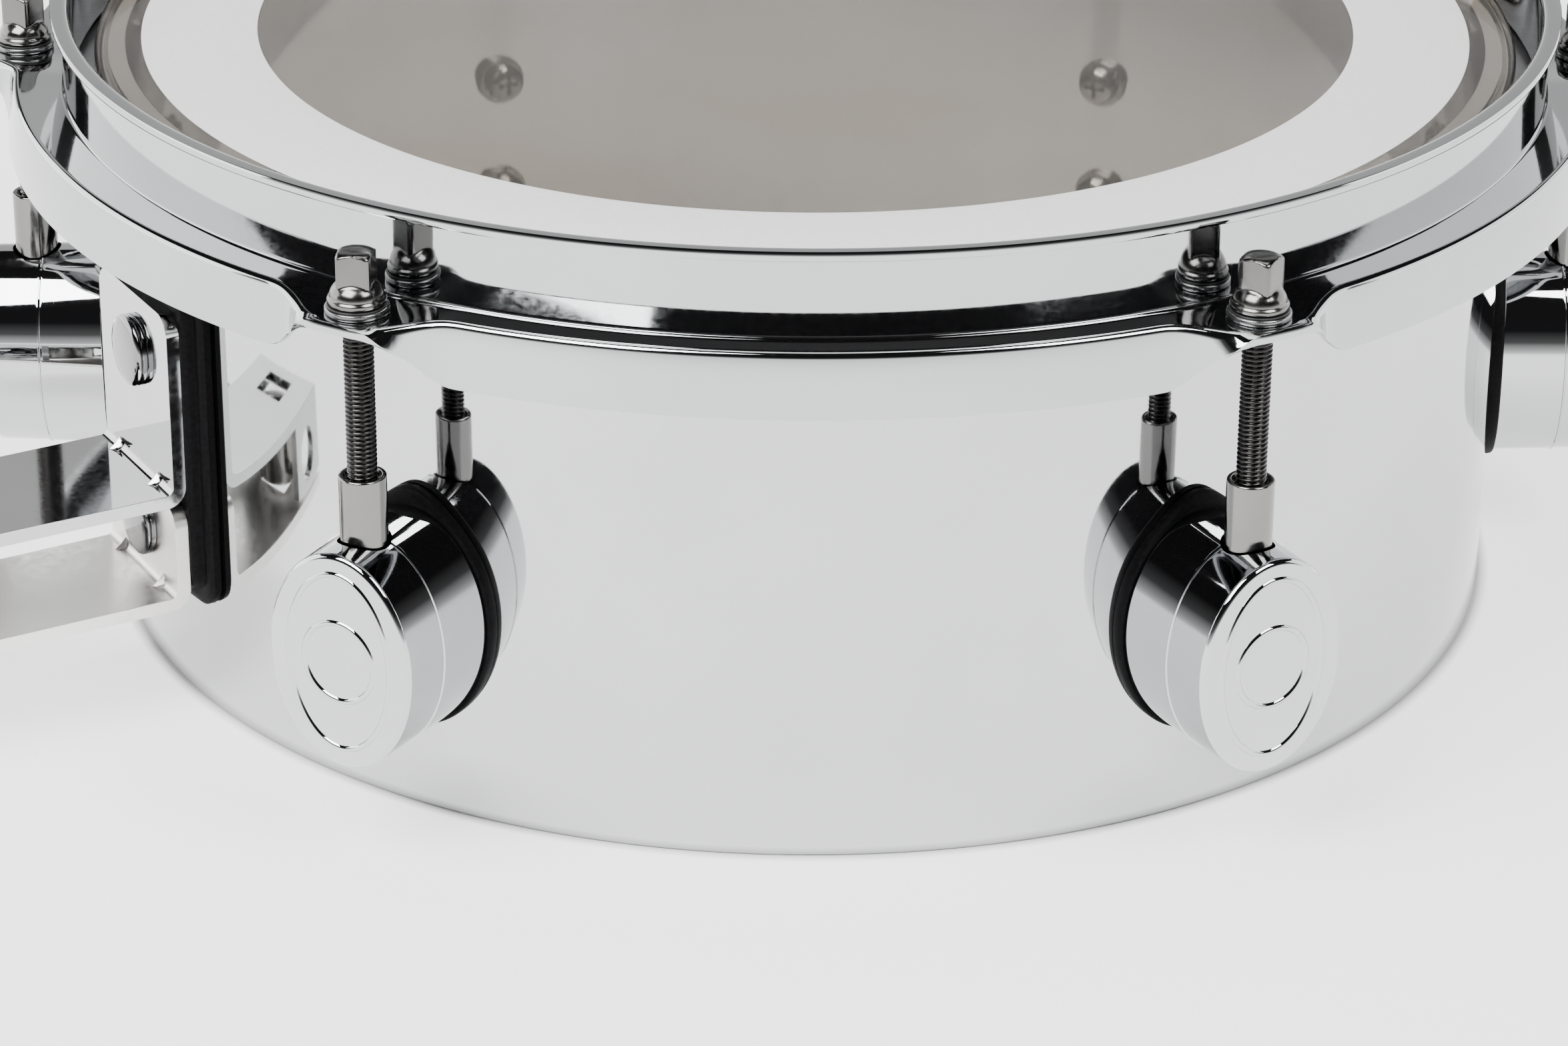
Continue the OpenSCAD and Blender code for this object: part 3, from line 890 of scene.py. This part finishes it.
def make_bracket_fixings(mats):
    """The bracket's two flat-headed bolts, with their nuts and washers inside the shell."""
    head = [(0.05, 2.3), (2.5, 2.24), (4.4, 2.08), (5.4, 1.88), (6.0, 1.6), (6.22, 1.3), (6.1, 1.1),
            (6.0, 1.02), (6.25, 0.9), (6.3, 0.55), (6.25, 0.15), (6.1, 0.01), (2.95, 0.01), (2.95, -13.6),
            (2.5, -14.4)]
    spots = [outward(BRACKET_TURN, LEG_FACE, z) for z in BOLT_Z]
    joined("bracket_bolt_set", turned("bolt", head, mats["bolt"], None, 72), spots,
           SHELL_BODY, "bolt_chrome", "bracket_bolts")
    seats = [outward(BRACKET_TURN, NUT_SEAT_R, z) for z in BOLT_Z]
    nut_r, nut_h = 5.6, 4.6
    nut = prism("nut", oval(nut_r, nut_r, 6), -nut_h, -0.02, mats["nickel"])
    cut(nut, [cylinder("hole", 3.0, -6, 2, Matrix.Identity(4), 48)])
    bevel(nut, 0.4, 2)
    joined("bracket_nut_set", nut, seats, SHELL_BODY, "nickel_hardware", "bracket_bolt_nuts")
    joined("bracket_washer_set", make_ring_mesh("w", 6.8, 3.15, 0.02, 1.18, mats["washer"], 0.25), seats,
           SHELL_BODY, "washer_steel", "bracket_bolt_washers")


def clamp_frame():
    """Frame on the clamp bolt: local Z runs out through the drilled cheek towards the wing nut."""
    here = upright(BRACKET_TURN, CLAMP_R, CLAMP_Z)
    return here @ Matrix.Rotation(math.radians(90), 4, "Y")


def make_clamp(mats):
    """The clamp's eye bolt, an eye with a shank that has a helical thread of 1 mm pitch, and its washer."""
    bore, eye_r, half = 5.5, 9.4, 6.7
    eye = lathe("clamp_eye_bolt",
                fillet([(bore, -half), (eye_r, -half), (eye_r, half), (bore, half)], [0.5, 1.2, 1.2, 0.5], 4),
                mats["nickel"], upright(BRACKET_TURN, CLAMP_R, CLAMP_Z), 96)
    n = 48
    step = 2 * math.pi / n
    thread_low, thread_end = 12, 33.2
    loops = []
    z = 7.4
    while z < thread_end + 0.2:
        blend = max(0.0, min(1.0, z - thread_low, thread_end - z))
        row = []
        for k in range(n):
            phase = (z - k / n) % 1.0
            r = 2.95 - 0.5 * blend * max(0.0, 1 - abs(phase - 0.5) / 0.38)
            row.append((r * math.cos(k * step), r * math.sin(k * step), z))
        loops.append(row)
        z += 1 / 6
    loops.append([(2.3 * math.cos(k * step), 2.3 * math.sin(k * step), 33.95) for k in range(n)])
    shank = new_object("shank", *loft(loops), mats["nickel"], clamp_frame())
    cut(eye, [shank], "UNION")
    finish_piece(eye, "eye_bolt_body", "nickel_hardware", "eye_bolt")
    washer = make_ring_mesh("clamp_washer", 6.6, 3.3, 0.02, 1.18, mats["washer"], 0.25)
    washer.matrix_world = clamp_frame() @ Matrix.Translation((0, 0, PLATE_W * MM))
    finish_piece(washer, SHELL_BODY, "washer_steel", "wing_nut_washer")


def make_wing_nut(mats):
    """Wing nut: coned hub with two rounded wings that lean outwards."""
    washer_t, gap = 1.2, 0.35
    seat = PLATE_W + washer_t + gap
    hub_line = fillet([(3.06, 0), (6.0, 0), (5.2, 8.0), (3.06, 8.0)], [0.2, 0.5, 0.8, 0.3], 4)
    place = clamp_frame() @ Matrix.Translation((0, 0, seat * MM))
    hub = lathe("clamp_wing_nut", hub_line, mats["bolt"], place, 72)
    wings = []
    for side in (-1, 1):
        outline = [(side * 3.6, 1.6)]
        outline += [(side * (9.7 + 4.6 * math.sin(math.radians(a))), 7.0 - 4.7 * math.cos(math.radians(a)))
                    for a in range(10, 191, 15)]
        outline += [(side * 4.4, 7.6)]
        turn = Matrix.Rotation(math.radians(90), 4, "Z") @ Matrix.Rotation(math.radians(90), 4, "X")
        wing = prism("wing", outline, -1.25, 1.25, mats["bolt"], place @ turn)
        bevel(wing, 0.7, 3)
        cut(wing, [cylinder("hole", 4.2, -2, 12, place, 48)])
        wings.append(wing)
    cut(hub, wings, "UNION")
    finish_piece(hub, "wing_nut_body", "bolt_chrome", "wing_nut")


# ---------------------------------------------------------------- studio

def make_camera():
    """The view: a long lens from the front, looking down on the drum, with the frame shifted."""
    distance, pitch, roll, yaw = 852.4, 22.435, 0.465, 0.39
    e = math.radians(pitch)
    aim = Vector((0, 0, 50))
    spot = aim + Vector((0, -math.cos(e), math.sin(e))) * distance
    ahead = Vector((0, math.cos(e), -math.sin(e)))
    right = Vector((1, 0, 0))
    up = right.cross(ahead)
    c, s = math.cos(math.radians(roll)), math.sin(math.radians(roll))
    tilt_right, tilt_up = right * c + up * s, up * c - right * s
    m = Matrix((tilt_right, tilt_up, -ahead)).transposed().to_4x4()
    m.translation = spot * MM
    data = bpy.data.cameras.new("camera")
    data.sensor_width = 36.0
    data.lens = 105.477
    data.shift_x = -0.01234
    data.shift_y = -0.1557
    data.clip_start = 0.01
    camera = bpy.data.objects.new("camera", data)
    camera.matrix_world = Matrix.Rotation(math.radians(-yaw), 4, "Z") @ m
    bpy.context.scene.collection.objects.link(camera)
    bpy.context.scene.camera = camera


def make_floor():
    """A pale table that glows softly from below; its glow is switched off under the drum and fades in over 2 mm
    outside the rim, a painted shadow under the drum and a painted contact shadow round its foot.
    """
    material, tree, shader = principled("pale_floor")
    tree.links.new(ramp(tree, noise(tree, 3.0, 2.0), [(0.3, (0.60, 0.60, 0.60)), (0.7, (0.62, 0.62, 0.62))]),
                   shader.inputs["Base Color"])
    shader.inputs["Roughness"].default_value = 0.7
    coords = tree.nodes.new("ShaderNodeTexCoord")
    radius = tree.nodes.new("ShaderNodeVectorMath")
    radius.operation = "LENGTH"
    tree.links.new(coords.outputs["Object"], radius.inputs[0])
    # Painted shadow: no glow under the drum, ramping up over 2 mm outside the rim as a painted contact shadow.
    glow_with_painted_shadow = tree.nodes.new("ShaderNodeMapRange")
    glow_with_painted_shadow.inputs["From Min"].default_value = (SHELL_R + 0.2) * MM
    glow_with_painted_shadow.inputs["From Max"].default_value = (SHELL_R + 2.2) * MM
    glow_with_painted_shadow.inputs["To Min"].default_value = 0.0
    glow_with_painted_shadow.inputs["To Max"].default_value = 1.6
    tree.links.new(radius.outputs["Value"], glow_with_painted_shadow.inputs["Value"])
    shader.inputs["Emission Color"].default_value = (1, 1, 1, 1)
    tree.links.new(glow_with_painted_shadow.outputs["Result"], shader.inputs["Emission Strength"])
    size = 4000
    corners = [(x * size, y * size, -0.02) for x, y in ((-1, -1), (1, -1), (1, 1), (-1, 1))]
    floor = new_object("floor", corners, [(0, 1, 2, 3)], material)


def soft_box(name, width, depth, place, aim, watts):
    """A rectangular lamp at a place, in metres, turned towards the aim."""
    data = bpy.data.lights.new(name, "AREA")
    data.shape = "RECTANGLE"
    data.size, data.size_y = width, depth
    data.energy = watts
    light = bpy.data.objects.new(name, data)
    direction = Vector(aim) - Vector(place)
    light.matrix_world = Matrix.Translation(place) @ direction.to_track_quat("-Z", "Y").to_matrix().to_4x4()
    bpy.context.scene.collection.objects.link(light)


def make_world():
    """A room that is pale at the horizon and dark overhead, as polished metal shows it."""
    world = bpy.data.worlds.new("studio")
    world.use_nodes = True
    bpy.context.scene.world = world
    tree = world.node_tree
    coords = tree.nodes.new("ShaderNodeTexCoord")
    split = tree.nodes.new("ShaderNodeSeparateXYZ")
    tree.links.new(coords.outputs["Generated"], split.inputs["Vector"])
    sky = ramp(tree, split.outputs["Z"],
               [(0.0, (0.8, 0.8, 0.8)), (0.03, (0.55, 0.55, 0.55)), (0.14, (0.10, 0.10, 0.10)),
                (0.32, (0.012, 0.012, 0.013)), (1.0, (0.01, 0.01, 0.01))])
    background = tree.nodes["Background"]
    tree.links.new(sky, background.inputs["Color"])
    background.inputs["Strength"].default_value = 1.6


def make_studio():
    """Camera, floor, room and soft boxes: two keys, a fill, and boards for the metal to reflect."""
    make_camera()
    make_floor()
    make_world()
    soft_box("left_key", 0.85, 0.72, (-0.60, -0.62, 1.05), (0, 0, 0.05), 34)
    soft_box("right_key", 0.55, 0.60, (0.66, -0.60, 1.05), (0, 0, 0.05), 15)
    soft_box("top_fill", 0.9, 0.6, (0.0, 0.35, 1.5), (0, 0, 0), 6)
    soft_box("back_board", 1.7, 1.3, (0.0, 1.7, 0.75), (0, 0, 0.2), 5)
    soft_box("left_board", 1.9, 0.95, (-1.45, 0.55, 0.48), (0, 0, 0.1), 24)
    soft_box("right_board", 1.9, 0.95, (1.45, 0.55, 0.48), (0, 0, 0.1), 15)


def main():
    make_studio()
    mats = make_materials()
    make_shell(mats)
    make_head(mats)
    make_hoop(mats)
    make_lugs(mats)
    make_washers(mats)
    make_lug_fixings(mats)
    make_bracket(mats)
    make_bracket_pad(mats)
    make_bracket_fixings(mats)
    make_clamp(mats)
    make_wing_nut(mats)


main()
